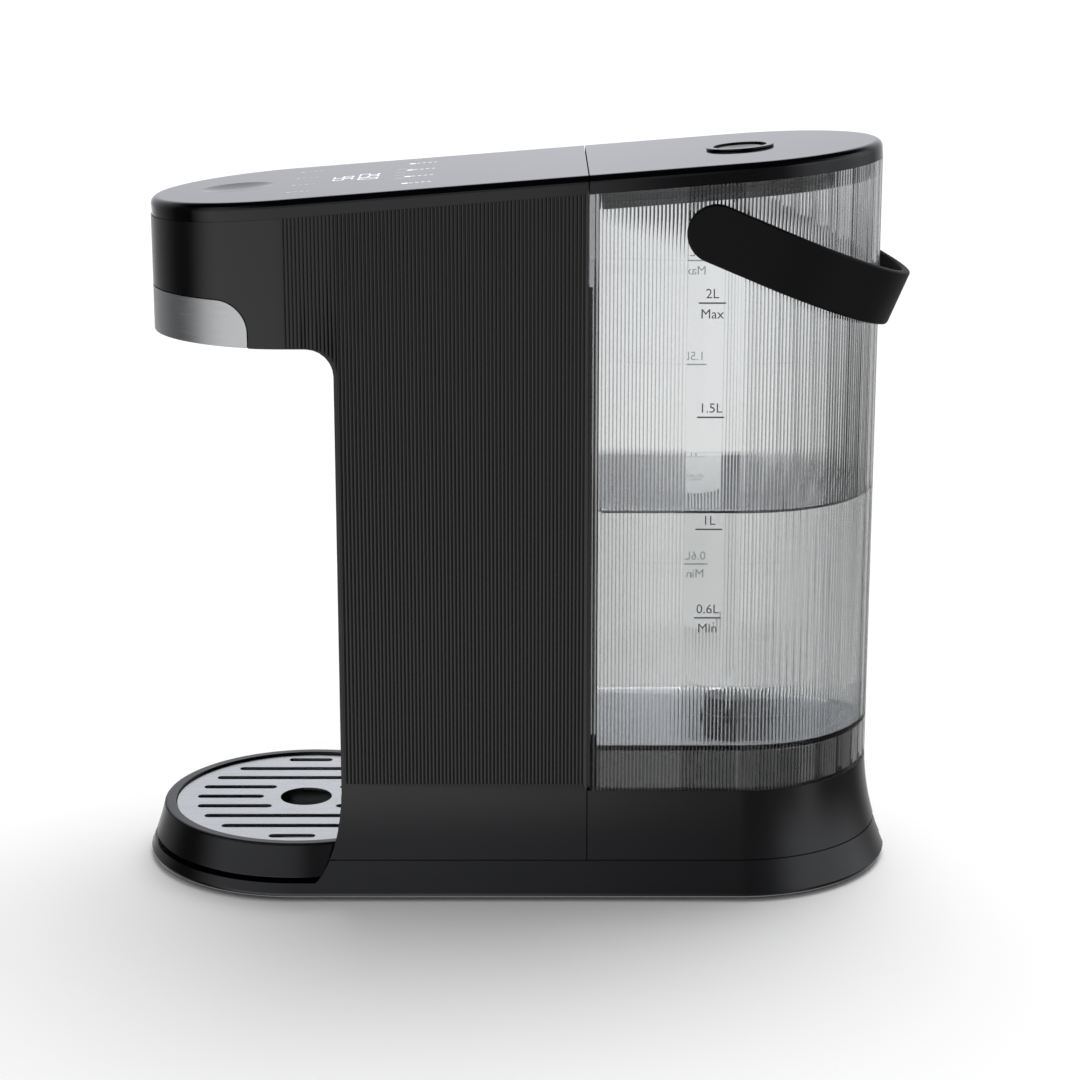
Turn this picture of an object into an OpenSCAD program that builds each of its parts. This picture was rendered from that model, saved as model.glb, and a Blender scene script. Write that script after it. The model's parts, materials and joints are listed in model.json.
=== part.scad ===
// Countertop hot water dispenser: a ribbed column with an overhanging head on a flared base,
// a drip tray in the cup bay in front and a clear lift-off water tank behind.
// The front is -Y, X is the width, and Z = 0 is the surface that the feet stand on.

/* [Body] */
// Width of the body above the flared skirt
body_w = 115; // [112:0.5:120]
// Distance between the centres of the two round ends
end_spacing = 182.5; // [179:0.5:195]
// Distance from the seam between column and tank to the rear end's centre
seam_to_rear = 62.5; // [58:0.5:64]
// Height of the top surface at the seam
seam_h = 295.9; // [290:0.1:310]
// Slope of the top, rising to the back, in degrees
top_slope = 4.5; // [3:0.1:6]
// Wall of the black mouldings
wall = 2.6; // [2:0.1:3]
// Height where the walls start to flare out into the skirt
flare_top = 48; // [46:0.5:55]
// Radius of the skirt's hollow flare
flare_r = 112; // [100:1:160]

/* [Ribs] */
// Pitch of the vertical ribs
rib_pitch = 1.5; // [1.4:0.1:4]
// Width of the groove between two ribs
groove_w = 0.9; // [0.5:0.05:1.1]
// Depth of the groove between two of the column's ribs
groove_d = 0.45; // [0.2:0.05:0.6]
// Depth of the groove between two of the tank's ribs
tank_groove_d = 0.3; // [0.15:0.05:0.6]

/* [Cup bay] */
// How much wider the scooped bay is than the body's round end
bay_extra = 3.3; // [2.6:0.1:6]
// Radius of the bay's own flare at its foot
bay_flare_r = 170; // [160:1:240]
// Depth of the head's underside below the top at the seam
head_t = 67.9; // [60:0.1:76]
// Fillet between the head's underside and the column's edge
bay_fillet = 11; // [6:0.5:14]
// Smooth edge left between the bay and the ribs
bay_lip = 0.5; // [0.3:0.05:0.8]
// Height of the silver band round the head's lower edge
trim_h = 18; // [14:0.1:22]
// Thickness of the silver band
trim_t = 1.4; // [1:0.1:1.6]
// Width of the dark line round the silver band
trim_line = 0.5; // [0.2:0.05:0.6]

/* [Base] */
// Height of the feet below the base
foot_h = 1.5; // [1:0.1:3]
// Radius of a foot
foot_r = 8; // [6:0.5:9]
// Height of the seam between the base pan and what stands on it
pan_h = 16.3; // [15.5:0.1:18]
// Height and depth of the shadow line above that seam
shadow_line = 0.5; // [0.3:0.05:0.8]
// Wall of the base pan
pan_wall = 3; // [2.4:0.1:4]
// Height of the deck that the drip tray stands on
deck_h = 7.5; // [7:0.1:8.5]
// Radius of the cord gland's bore
gland_bore_r = 3.2; // [2.5:0.1:3.6]

/* [Drip tray] */
// Height of the tray's rim
tray_h = 22.9; // [21:0.1:26]
// Width of the tray's flat rim
rim_w = 4.4; // [3.5:0.1:6]
// Thickness of the tray's floor and walls
tray_wall = 2.2; // [1.6:0.1:2.6]
// Thickness of the steel grille
grille_t = 1.2; // [0.8:0.1:1.6]
// How far the grille lies below the tray's rim
grille_sink = 1; // [0.4:0.1:1.6]
// Radius of the grille's middle hole
grille_hole_r = 11; // [8:0.5:14]
// Distance between the grille's slots
slot_pitch = 12; // [8:0.5:14]
// Width of a slot
slot_w = 4; // [2:0.1:5]

/* [Top] */
// Height of the top panel's and the lid's side
panel_t = 7.2; // [6:0.1:9]
// Thickness of the top plate
plate_t = 3; // [2.4:0.1:3.4]
// Rounding of the top edge
edge_r = 3; // [1.5:0.1:3.5]
// Height and depth of the shadow line under the top panel and the lid
panel_line = 0.4; // [0.2:0.05:0.6]
// Gap between the top panel and the lid
seam_gap = 0.5; // [0.4:0.05:1]
// Diameter of the dished touch key
dish_d = 29.3; // [24:0.1:34]
// Depth of the dished touch key
dish_depth = 1.2; // [0.6:0.1:1.6]
// Distance of the touch key in front of the front end's centre
dish_ahead = 22; // [16:0.5:28]

/* [Tank] */
// Gap between the column and the tank
tank_gap = 1.7; // [1.6:0.1:2.4]
// Height of the hook along the tank's front, from the seam's top down
hook_h = 43.2; // [30:0.1:60]
// Wall of the clear tank
tank_wall = 3; // [2.4:0.1:3.4]
// Height of the dock's ledge, where the tank stands
dock_h = 45; // [42:0.5:46]
// Height of the tank's inner floor
floor_h = 64; // [63:0.5:70]
// Thickness of the tank's floor
floor_t = 2.4; // [2:0.1:3]
// Width of the smooth window strip
window_w = 21.5; // [18:0.5:26]
// Height of the window strip's lower end
window_h = 89.8; // [80:0.1:100]
// Depth of the lid's plug below the tank's edge
plug_depth = 6.5; // [4:0.1:8]
// Outer radius of the ring round the lid's button
ring_r = 13.8; // [12:0.1:16]
// Height of the ring above the lid
ring_h = 1; // [0.8:0.1:3]
// Travel of the lid's button
button_travel = 2.5; // [1.5:0.1:3]

/* [Handle] */
// Distance of the handle's pivot in front of the rear end's centre
pivot_ahead = 13.1; // [10:0.1:18]
// Depth of the handle's pivot below the top at the seam
pivot_drop = 21.9; // [20:0.1:30]
// Radius of the pivot pin
pin_r = 4; // [3:0.1:5]
// Width of the strap
strap_w = 23; // [20:0.5:25]
// Thickness of the strap
strap_t = 3.5; // [3:0.1:5]
// How far the handle hangs below level at rest, in degrees
droop = 23; // [20:0.1:26]
// Gap between the hanging handle and the tank's back
rest_gap = 0.4; // [0.3:0.05:1]

/* [Water path] */
// Outer radius of the flow heater's steel tube
heater_r = 17; // [14:0.5:18]
// Length of the heater's tube
heater_l = 100; // [80:1:105]
// Radius of the pump's body
pump_r = 18; // [16:0.5:19]
// Radius of the pump's motor
motor_r = 13.5; // [11:0.5:15]
// Length of the pump's motor
motor_l = 36; // [28:1:42]
// Outer radius of the hoses and of the nipples that they meet
hose_r = 4; // [3:0.1:4.4]
// Radius of the tank outlet's spigot
spigot_r = 8.5; // [7:0.1:9.5]
// Lift of the tank's valve above its seat while the tank is docked
valve_lift = 3; // [2:0.1:4]

/* [Fits] */
// Clearance between pieces that part or pass each other
gap = 0.3; // [0.25:0.05:0.5]
// Clearance between pieces fixed together
fit = 0.1; // [0.05:0.05:0.2]
// Radial clearance of a shaft in its hole
run = 0.05; // [0.02:0.01:0.1]

/* [Hidden] */
$fn = 96;
big = 400;
cut = 1;

body_r = body_w / 2;
bay_r = body_r + bay_extra;
head_h = seam_h - head_t;
bay_reach = sqrt(bay_r * bay_r - body_r * body_r);

// Handle, measured from the rear end's centre: its overhang centres the part on its own box
arm_clear = 2;
bow_in = body_r + arm_clear;
bow_r = bow_in + strap_t;
rest_reach = body_r + rest_gap + pivot_ahead + strap_w / 2 * sin(droop);
arm_l = rest_reach / cos(droop) - bow_in;
handle_back = -pivot_ahead + (arm_l + bow_r) * cos(droop) + strap_w / 2 * sin(droop);
pan_edge = 2.2;
pan_r = flared_r(foot_h + pan_edge);
overhang = max(0, handle_back - pan_r);
front_y = -(end_spacing + overhang) / 2;
rear_y = front_y + end_spacing;
seam_y = rear_y - seam_to_rear;
back_y = seam_y - wall;
dock_gap = 0.4;
dock_y = seam_y + dock_gap;
tank_y = seam_y + tank_gap;
hook_z = seam_h - hook_h;
tank_ribs = floor((rear_y - tank_y) / rib_pitch - 0.5);
guide_w = 6;
pivot_y = rear_y - pivot_ahead;
pivot_h = seam_h - pivot_drop;
boss_w = 4;
pin_head = [2.5, 1.5];
pin_cover = 1.2;

// Base pan
pan_floor = 2.6;
pan_top = foot_h + pan_floor;
foot_seat = 1;
foot_spread = [38, 34];
pocket_r = norm(foot_spread) - foot_r - pan_wall;
boss_r = 4.5;
boss_in = 3;
boss_x = body_r - wall - boss_in;
boss_top = 40;
screw_r = 1.5;
screw_head_r = 3.4;
screw_sink = 1.5;
screw_l = 17;
boss_ahead = 40;
boss_behind = 50.5;
boss_y = [seam_y - boss_ahead, seam_y + boss_behind];
gland_h = 9.2;
gland_out = 2;
gland_y = rear_y + body_r + gland_out;
gland_wall = 1.6;
gland_r = gland_bore_r + gland_wall;
gland_l = 8;
flange_t = 2;
cable_slot = [-30, 46];
cable_slot_h = boss_top;

// Drip tray and grille
tray_foot = 2;
tray_z = deck_h + tray_foot;
rim_edge = 0.6;
rim_r = flared_r(tray_h) - rim_edge;
grille_r = rim_r - rim_w;
grille_top = tray_h - grille_sink;
grille_z = grille_top - grille_t;
ledge_w = 2;
slot_edge = [6.2, 10.5];
slot_reach = [grille_r - slot_edge[0], grille_r - slot_edge[1]];
slot_ahead = 1.9;
hole_edge = 7.3;
slot_keep_r = grille_hole_r + hole_edge;

// Top panel and lid, in the sloping frame whose origin is on the seam
mid_shift = panel_t / 2 * sin(top_slope);
front_u = (front_y - seam_y - mid_shift) / cos(top_slope);
rear_u = (rear_y - seam_y - mid_shift) / cos(top_slope);
dish_u = front_u - dish_ahead;
dish_ball = (dish_d * dish_d / 4 + dish_depth * dish_depth) / (2 * dish_depth);

// Controls under the top panel
board_t = 1.6;
board_w = 60;
board_depth = 11;
board_ahead = 36;
board_l = 94;
board_front_u = front_u - board_ahead;
board_rear_u = board_front_u + board_l;
board_boss_r = 3;
board_inset = 5;
board_screw_head = [2.6, 1.6];
display_behind = 29;
display_u = front_u + display_behind;
display_w = 36;
display_l = 18;
touch_r = 10;

// Lid plug and button
plug_clear = 0.6;
gasket = [1.5, 2.5];
gasket_top = panel_t + 1.5;
button_gap = 0.3;
ring_w = 3.1;
button_r = ring_r - ring_w - button_gap;
button_lip = 1.5;
cup_wall = 2;
button_skirt = 4;
button_sink = 0.8;
button_recess = 2;
spring_room = 4.5;
cup_depth = button_skirt + button_travel + spring_room + cup_wall;
button_wire = 0.45;

// Tank outlet and dock
plinth_clear = 0.4;
floor_clear = 0.6;
plinth_h = floor_h - floor_t - floor_clear;
seal_w = 1.5;
socket_bore_r = spigot_r + seal_w;
socket_wall = 3.5;
socket_r = socket_bore_r + socket_wall;
socket_plate = plinth_h - wall;
socket_floor = 34;
socket_foot = 13.5;
seal_t = 4;
spigot_l = 13.5;
spigot_end = floor_h - spigot_l;
spigot_lead = 0.5;
seal_h = spigot_end - spigot_lead;
seat_t = 2.5;
seat_r = 4;
valve_bore_r = 6.5;
valve_flange_r = 14;
valve_seal_t = 1;
poppet_z = spigot_end + seat_t + valve_lift;
poppet_r = 5.2;
seal_lip = 0.4;
poppet_t = 2;
stem_r = 1.5;
stem_reach = 2.8;
stem_end = spigot_end - stem_reach;
bridge_t = 2;
strainer_r = 12;
strainer_h = 7;
strainer_wall = 1.2;
valve_wire = 0.35;

// Pump, heater and hoses
nipple_l = 10;
hose_wall = 1.4;
hose_bore_r = hose_r - hose_wall;
pump_x = 24;
heater_x = -24;
clip_t = 3;
clip_stand = 9;
heater_y = back_y - heater_r - clip_stand;
pump_y = heater_y;
hose_h = 19.6;
mount_h = 6;
pump_z = pan_top + mount_h;
pump_h = 16;
pump_wall = 2.5;
pump_cover_t = 4;
motor_z = pump_z + pump_h + pump_cover_t;
impeller_clear = 2;
impeller_r = pump_r - pump_wall - impeller_clear;
shaft_r = 2;
motor_end = 6;
shaft_in = motor_l - motor_end;
heater_drop = 28;
heater_top = head_h - heater_drop;
heater_z = heater_top - heater_l;
heater_wall = 1.5;
cap_t = 8;
bend_r = 8;
hose_rise = 12;
hose_top = head_h + hose_rise;
nozzle_r = 7;
nozzle_bore_r = 4;
nozzle_drop = 6;
nozzle_z = head_h - nozzle_drop;
chamber_r = 12;
chamber_h = 20;
chamber_wall = 2;
chamber_z = head_h + wall + chamber_wall;
clamp_l = 5;
clamp_t = 1.2;

// Power board on the rear panel
power_stand = 5;
power_w = 44;
power_l = 90;
power_x = 2;
power_z = 95;
power_y = back_y - power_stand - board_t;
power_inset = 5;
terminal_size = [24, 12, 10];
terminal_behind = 30;
terminal_y = rear_y + terminal_behind;
lead_r = 2.6;
lead_x = 39;
lead_rise = 5;
lead_h = pan_top + lead_rise;
lead_behind = 38;
lead_y = seam_y + lead_behind;
loom_r = 2.6;
loom_x = 12;
loom_rise = 20;
loom_h = head_h + loom_rise;
loom_behind = 50;
loom_y = front_y + loom_behind;
turn_behind = 20;
hose_turn_y = seam_y + turn_behind;

// Routes of the hoses and leads, with square corners that are rounded to the bend radius
inlet_route = [[pump_x, pump_y + pump_r + nipple_l, hose_h], [pump_x, hose_turn_y, hose_h],
    [0, hose_turn_y, hose_h], [0, rear_y - socket_r - nipple_l, hose_h]];
feed_route = [[pump_x - pump_r - nipple_l, pump_y, hose_h], [heater_x, pump_y, hose_h],
    [heater_x, heater_y, heater_z - cap_t - nipple_l]];
outlet_route = [[heater_x, heater_y, heater_top + cap_t + nipple_l], [heater_x, heater_y, hose_top],
    [0, heater_y, hose_top], [0, front_y + chamber_r + nipple_l, hose_top]];
lead_route = [[terminal_size[0] / 4, terminal_y, lead_h], [terminal_size[0] / 4, lead_y, lead_h],
    [lead_x, lead_y, lead_h], [lead_x, power_y + board_t / 2, lead_h],
    [lead_x, power_y + board_t / 2, power_z]];
loom_route = [[loom_x, loom_y, top_at(loom_y) - board_depth - board_t - gap],
    [loom_x, loom_y, loom_h], [loom_x, power_y + board_t / 2, loom_h],
    [loom_x, power_y + board_t / 2, power_z + power_l]];

// Radius of the flared skirt and of the bay at a height
function sweep_out(r, drop) = drop > 0 ? r - sqrt(r * r - drop * drop) : 0;
function flared_r(z) = body_r + sweep_out(flare_r, flare_top - z);
function bay_r_at(z) = bay_r + sweep_out(bay_flare_r, flare_top - z);

// Height of the sloping top surface at a place along the body
function top_at(y) = seam_h + (y - seam_y) * tan(top_slope);

// Evenly spaced values from a to b
function steps(a, b, n) = [for (i = [0 : n]) a + (b - a) * i / n];

// A half profile of [radius, height] points, and the same profile on both sides of the axis
function both_sides(pts) = concat(pts, [for (i = [len(pts) - 1 : -1 : 0])
    if (pts[i][0] > 0) [-pts[i][0], pts[i][1]]]);
function block(r, z0, z1) = [[0, z0], [r, z0], [r, z1], [0, z1]];
function flare_profile(z0, z1, inset) = concat([[0, z0]],
    [for (z = steps(z0, z1, 8)) [flared_r(z) - inset, z]], [[0, z1]]);
function skirt_profile(z1) = let (z0 = pan_h + shadow_line, r = flared_r(z0) - shadow_line)
    concat([[0, pan_h], [r, pan_h], [r, z0]], [for (z = steps(z0, z1, 8)) [flared_r(z), z]], [[0, z1]]);
function pan_profile() = concat([[0, foot_h]],
    [for (a = [0 : 22.5 : 67.5])
        [pan_r - pan_edge + pan_edge * sin(a), foot_h + pan_edge - pan_edge * cos(a)]],
    [for (z = steps(foot_h + pan_edge, pan_h, 4)) [flared_r(z), z]], [[0, pan_h]]);
function edge_profile() = concat([[0, -panel_t], [body_r - panel_line, -panel_t],
        [body_r - panel_line, panel_line - panel_t], [body_r, panel_line - panel_t]],
    [for (a = [0 : 15 : 90]) [body_r - edge_r + edge_r * cos(a), -edge_r + edge_r * sin(a)]], [[0, 0]]);
function bay_profile(z0, grow) = concat([[0, z0]],
    [for (z = steps(z0, flare_top, 8)) [bay_r_at(z) + grow, z]],
    [for (a = [0 : 15 : 90]) let (dy = bay_reach - bay_fillet + bay_fillet * cos(a))
        [sqrt(body_r * body_r + dy * dy) + grow, head_h - bay_fillet + bay_fillet * sin(a)]],
    grow > 0 ? [[body_r + grow, head_h + grow]] : [], [[0, head_h + grow]]);

// Points of a route whose square corners are rounded, and points of a helix
function unit(v) = v / norm(v);
function rounded(p, r) = concat([p[0]],
    [for (i = [1 : len(p) - 2])
        let (d = unit(p[i] - p[i - 1]), e = unit(p[i + 1] - p[i]))
        for (a = [0 : 15 : 90]) p[i] - d * r + e * r - e * r * cos(a) + d * r * sin(a)],
    [p[len(p) - 1]]);
function helix(r, h, turns) =
    [for (i = [0 : turns * 8]) [r * cos(i * 45), r * sin(i * 45), h * i / (turns * 8)]];

// Directions along a path, and one side direction carried along it without twist
function along(p) = [for (i = [0 : len(p) - 1]) unit(p[min(i + 1, len(p) - 1)] - p[max(i - 1, 0)])];
function carried(t, i, n) = let (m = unit(n - t[i] * (n * t[i])))
    i == len(t) - 1 ? [m] : concat([m], carried(t, i + 1, m));

// Round solid rod along a path of points
module rod(path, r, sides) {
    t = along(path);
    n = carried(t, 0, abs(t[0][2]) < 0.9 ? [0, 0, 1] : [1, 0, 0]);
    last = len(path) - 1;
    points = [for (i = [0 : last]) for (k = [0 : sides - 1])
        path[i] + r * (cos(k * 360 / sides) * n[i] + sin(k * 360 / sides) * cross(t[i], n[i]))];
    ring = function (i, k) i * sides + k % sides;
    skin = [for (i = [0 : last - 1]) for (k = [0 : sides - 1])
        each [[ring(i, k), ring(i + 1, k), ring(i + 1, k + 1)],
            [ring(i, k), ring(i + 1, k + 1), ring(i, k + 1)]]];
    ends = [for (k = [1 : sides - 2])
        each [[0, k, k + 1], [last * sides, last * sides + k + 1, last * sides + k]]];
    polyhedron(points, concat(skin, ends));
}

// A profile turned about a round end and carried straight to a place along the body
module front_sweep(pts, end_y, stop_y) {
    translate([0, end_y, 0]) rotate([0, 0, 180]) rotate_extrude(angle = 180) polygon(pts);
    translate([0, stop_y, 0]) rotate([90, 0, 0]) linear_extrude(stop_y - end_y) polygon(both_sides(pts));
}
module rear_sweep(pts, end_y, start_y) {
    translate([0, end_y, 0]) rotate_extrude(angle = 180) polygon(pts);
    translate([0, end_y, 0]) rotate([90, 0, 0]) linear_extrude(end_y - start_y) polygon(both_sides(pts));
}
module full_sweep(pts) {
    front_sweep(pts, front_y, seam_y);
    rear_sweep(pts, rear_y, seam_y);
}

// Plan of the column and of the tank, set in from the body's outline
module column_plan(inset, stop_y) {
    r = body_r - inset;
    translate([0, front_y]) circle(r);
    translate([-r, front_y]) square([2 * r, stop_y - front_y]);
}
module tank_plan(inset) {
    r = body_r - inset;
    intersection() {
        translate([0, rear_y]) circle(r);
        translate([-big, rear_y]) square([2 * big, big]);
    }
    translate([-r, tank_y + inset]) square([2 * r, rear_y - tank_y - inset]);
}

// Grooves between ribs on both sides, and round the tank's back
module groove(depth) {
    half = groove_w / 2 * (depth + fit) / depth;
    polygon([[-depth, 0], [fit, -half], [fit, half]]);
}
module side_grooves(start_y, stop_y, depth) {
    for (y = [start_y : rib_pitch : stop_y], s = [0, 1])
        mirror([s, 0]) translate([body_r, y]) groove(depth);
}
module round_grooves() {
    count = round(PI * body_r / rib_pitch);
    for (i = [1 : count - 1])
        translate([0, rear_y]) rotate(180 * i / count) translate([body_r, 0]) groove(tank_groove_d);
}

// The sloping frame of the top, and everything above a depth below the top surface
module on_top() translate([0, seam_y, seam_h]) rotate([top_slope, 0, 0]) children();
module above(depth) on_top() translate([-big, -big, -depth]) cube([2 * big, 2 * big, big]);
module before(y) translate([-big, y - 2 * big, -big]) cube([2 * big, 2 * big, 3 * big]);
module behind(y) translate([-big, y, -big]) cube([2 * big, 2 * big, 3 * big]);

module bay(z0, grow) translate([0, front_y, 0]) rotate_extrude() polygon(bay_profile(z0, grow));
module both_x(x) for (s = [-1, 1]) translate([s * x, 0, 0]) children();
module tube(r_out, r_in, h) {
    difference() {
        cylinder(r = r_out, h = h);
        translate([0, 0, -cut]) cylinder(r = r_in, h = h + 2 * cut);
    }
}
module toward_y() rotate([-90, 0, 0]) children();

// Base: pan, feet, screws, cord gland and the terminal block behind it
module base_pan() {
    seat_w = 11;
    seat_depth = 4;
    color("#161618") difference() {
        union() {
            difference() {
                full_sweep(pan_profile());
                difference() {
                    full_sweep(flare_profile(pan_top, pan_h + cut, pan_wall));
                    bay(0, pan_wall);
                }
            }
            translate([-seat_w, gland_y - seat_depth, pan_top - fit])
                cube([2 * seat_w, seat_depth, pan_h - pan_top + fit]);
        }
        bay(deck_h, 0);
        translate([0, front_y, 0]) cylinder(r = pocket_r, h = deck_h - pan_wall);
        foot_places() cylinder(r = foot_r + fit, h = foot_h + foot_seat);
        screw_places() cylinder(r = screw_head_r + gap, h = foot_h + screw_sink);
        screw_places() cylinder(r = screw_r + gap, h = pan_h);
        translate([-gland_r - flange_t - fit, gland_y, foot_h - cut])
            cube([2 * (gland_r + flange_t + fit), big, pan_h]);
        translate([0, gland_y - seat_depth - cut, gland_h]) toward_y()
            cylinder(r = gland_r + fit, h = big);
    }
}
module foot_places() {
    both_x(foot_spread[0]) for (y = [front_y - foot_spread[1], rear_y + foot_spread[1]])
        translate([0, y, 0]) children();
}
module screw_places() both_x(boss_x) for (y = boss_y) translate([0, y, 0]) children();

module rubber_feet() color("#2a2a2a") foot_places() cylinder(r = foot_r, h = foot_h + foot_seat);

module base_screws() {
    color("silver") screw_places() {
        translate([0, 0, foot_h]) cylinder(r = screw_head_r, h = screw_sink);
        translate([0, 0, foot_h]) cylinder(r = screw_r, h = screw_sink + screw_l);
    }
}

module cord_gland() {
    color("#222222") translate([0, gland_y, gland_h]) difference() {
        union() {
            translate([0, flange_t - gland_l, 0]) toward_y() cylinder(r = gland_r, h = gland_l);
            toward_y() cylinder(r = gland_r + flange_t, h = flange_t);
        }
        translate([0, -gland_l, 0]) toward_y() cylinder(r = gland_bore_r, h = 2 * gland_l);
    }
}

module terminal_block() {
    well = [2, 3];
    color("ivory") translate([-terminal_size[0] / 2, terminal_y, pan_top]) difference() {
        cube(terminal_size);
        for (i = [1 : 3])
            translate([terminal_size[0] * i / 4, terminal_size[1] / 2, terminal_size[2] - well[1]])
                cylinder(r = well[0], h = well[1] + cut);
    }
}

// Column and head: one ribbed shell, open to the back, the base and the top. The panel that closes
// its back has two guides, and the tank's hook hangs over their ends.
module front_housing() {
    color("#1b1b1e") difference() {
        union() {
            difference() {
                union() {
                    translate([0, 0, flare_top]) linear_extrude(seam_h - flare_top) difference() {
                        column_plan(0, seam_y);
                        side_grooves(front_y + rib_pitch, seam_y - rib_pitch, groove_d);
                    }
                    front_sweep(skirt_profile(flare_top), front_y, seam_y);
                }
                difference() {
                    translate([0, 0, pan_h - cut]) linear_extrude(seam_h)
                        column_plan(wall, seam_y + cut);
                    bay(0, wall);
                }
            }
            housing_bosses(boss_y[0]);
            intersection() {
                translate([-body_r, front_y + rib_pitch / 2, flare_top])
                    cube([body_w, bay_r, seam_h - flare_top]);
                bay(0, bay_lip);
            }
        }
        bay(0, 0);
        above(panel_t);
        trim_solid(fit, trim_line);
        translate([0, front_y, head_h - cut]) cylinder(r = nozzle_r + fit, h = wall + 2 * cut);
        both_x(boss_x) translate([0, boss_y[0], 0]) cylinder(r = screw_r + fit, h = boss_top - wall);
    }
}
module housing_bosses(y) {
    both_x(boss_x) translate([0, y, pan_top]) cylinder(r = boss_r, h = boss_top - pan_top);
}

// Silver band round the head's lower edge; its back ends are cut to a quarter round
module trim_solid(deeper, line) {
    lip = 0.4;
    end_ahead = 14.1;
    end_y = front_y - end_ahead;
    corner = 12.5;
    z0 = head_h + lip;
    z1 = z0 + trim_h;
    intersection() {
        translate([0, front_y, z0 - line]) difference() {
            cylinder(r = body_r + (deeper > 0 ? cut : 0), h = trim_h + 2 * line);
            cylinder(r = body_r - trim_t - deeper, h = big, center = true);
        }
        rotate([90, 0, 90]) linear_extrude(big, center = true) {
            translate([end_y + line - big, z0 - cut]) square([big, trim_h - corner + cut]);
            translate([end_y - corner - big, z0 - cut]) square([big, trim_h + 2 * cut]);
            translate([end_y - corner, z1 - corner]) circle(corner + line);
        }
    }
}
module spout_trim() color("#a9abae") trim_solid(0, 0);

module rear_panel() {
    x = body_r - wall - fit;
    color("#1b1b1e") difference() {
        union() {
            translate([-x, back_y, pan_h]) cube([2 * x, wall, seam_h]);
            both_x(x - guide_w / 2) translate([-guide_w / 2, back_y, dock_h + gap])
                cube([guide_w, wall + tank_gap - gap, hook_z - dock_h - 2 * gap]);
            power_places() translate([0, back_y - power_stand, 0]) toward_y()
                cylinder(r = board_boss_r, h = power_stand + cut);
        }
        above(panel_t);
        translate([cable_slot[0], back_y - cut, pan_h - cut])
            cube([cable_slot[1] - cable_slot[0], wall + 2 * cut, cable_slot_h - pan_h]);
        power_places() translate([0, back_y - power_stand - cut, 0]) toward_y()
            cylinder(r = screw_r, h = power_stand);
    }
}
module power_places() {
    for (x = [power_inset, power_w - power_inset], z = [power_inset, power_l - power_inset])
        translate([power_x + x, 0, power_z + z]) children();
}

// Dock under the tank: flared skirt, ledge, and a plinth that fills the tank's own skirt
module tank_dock() {
    plinth_in = tank_wall + plinth_clear;
    color("#18181a") difference() {
        union() {
            difference() {
                union() {
                    rear_sweep(skirt_profile(dock_h), rear_y, dock_y);
                    translate([0, 0, dock_h - cut]) linear_extrude(plinth_h - dock_h + cut)
                        tank_plan(plinth_in);
                }
                translate([0, 0, pan_h - cut]) linear_extrude(dock_h - wall - pan_h + cut)
                    tank_plan(wall);
                translate([0, 0, pan_h]) linear_extrude(socket_plate - pan_h)
                    tank_plan(plinth_in + wall);
            }
            housing_bosses(boss_y[1]);
        }
        translate([0, rear_y, socket_plate - cut]) cylinder(r = socket_bore_r + seal_w, h = big);
        translate([cable_slot[0], dock_y - cut, pan_h - cut])
            cube([cable_slot[1] - cable_slot[0], tank_y - dock_y + wall + 2 * cut, cable_slot_h - pan_h]);
        both_x(boss_x) translate([0, boss_y[1], 0]) cylinder(r = screw_r + fit, h = boss_top - wall);
    }
}

// Socket that the tank's spigot drops into, with the pin that pushes the tank's valve open
module dock_socket() {
    drain_r = 6;
    push_r = 1.8;
    push_gap = 0.2;
    well_gap = 0.7;
    well_r = spigot_r + well_gap;
    flange_w = 4.5;
    flange_r = socket_r + flange_w;
    port = [1.4, 4.5];
    color("#d8d8d4") translate([0, rear_y, 0]) difference() {
        union() {
            difference() {
                union() {
                    translate([0, 0, socket_foot])
                        cylinder(r = socket_r, h = socket_plate - socket_foot);
                    translate([0, 0, socket_plate - wall]) cylinder(r = flange_r, h = wall);
                }
                translate([0, 0, socket_floor + wall]) cylinder(r = well_r, h = big);
                translate([0, 0, seal_h]) cylinder(r = socket_bore_r, h = big);
            }
            translate([0, 0, socket_floor]) cylinder(r = push_r, h = stem_end - push_gap - socket_floor);
            translate([0, -socket_r - nipple_l, hose_h]) toward_y()
                cylinder(r = hose_r, h = socket_r + nipple_l);
        }
        translate([0, 0, socket_foot + wall])
            cylinder(r = drain_r, h = socket_floor - socket_foot - wall);
        for (a = [45 : 90 : 315])
            rotate(a) translate([port[1], 0, socket_floor - cut]) cylinder(r = port[0], h = 3 * wall);
        translate([0, -big, hose_h]) toward_y() cylinder(r = hose_bore_r, h = big);
    }
}
module dock_seal() {
    color("#c8523a") translate([0, rear_y, seal_h]) tube(socket_bore_r - fit, spigot_r + gap, seal_t);
}

// Top panel with its dished touch key, and the controls under it
module top_panel() {
    color("#0c0c0f") difference() {
        union() {
            intersection() {
                on_top() front_sweep(edge_profile(), front_u, edge_r);
                before(seam_y - seam_gap / 2);
            }
            on_top() board_places() translate([0, 0, -board_depth])
                cylinder(r = board_boss_r, h = board_depth - cut);
        }
        difference() {
            intersection() {
                on_top() front_sweep(block(body_r - wall, -panel_t - cut, -plate_t), front_u, edge_r);
                before(seam_y - seam_gap / 2 - wall);
            }
            on_top() board_places() translate([0, 0, -big / 2]) cylinder(r = board_boss_r, h = big);
        }
        on_top() translate([0, dish_u, dish_ball - dish_depth]) sphere(r = dish_ball);
        on_top() board_places() translate([0, 0, -board_depth - cut])
            cylinder(r = screw_r, h = board_depth - plate_t);
    }
}
module board_places() {
    both_x(board_w / 2 - board_inset) for (u = [board_front_u + board_inset, board_rear_u - board_inset])
        translate([0, u, 0]) children();
}
module control_board() {
    color("darkgreen") on_top() difference() {
        translate([-board_w / 2, board_front_u, -board_depth - board_t])
            cube([board_w, board_rear_u - board_front_u, board_t]);
        board_places() translate([0, 0, -board_depth - big / 2]) cylinder(r = screw_r + fit, h = big);
    }
}
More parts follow.
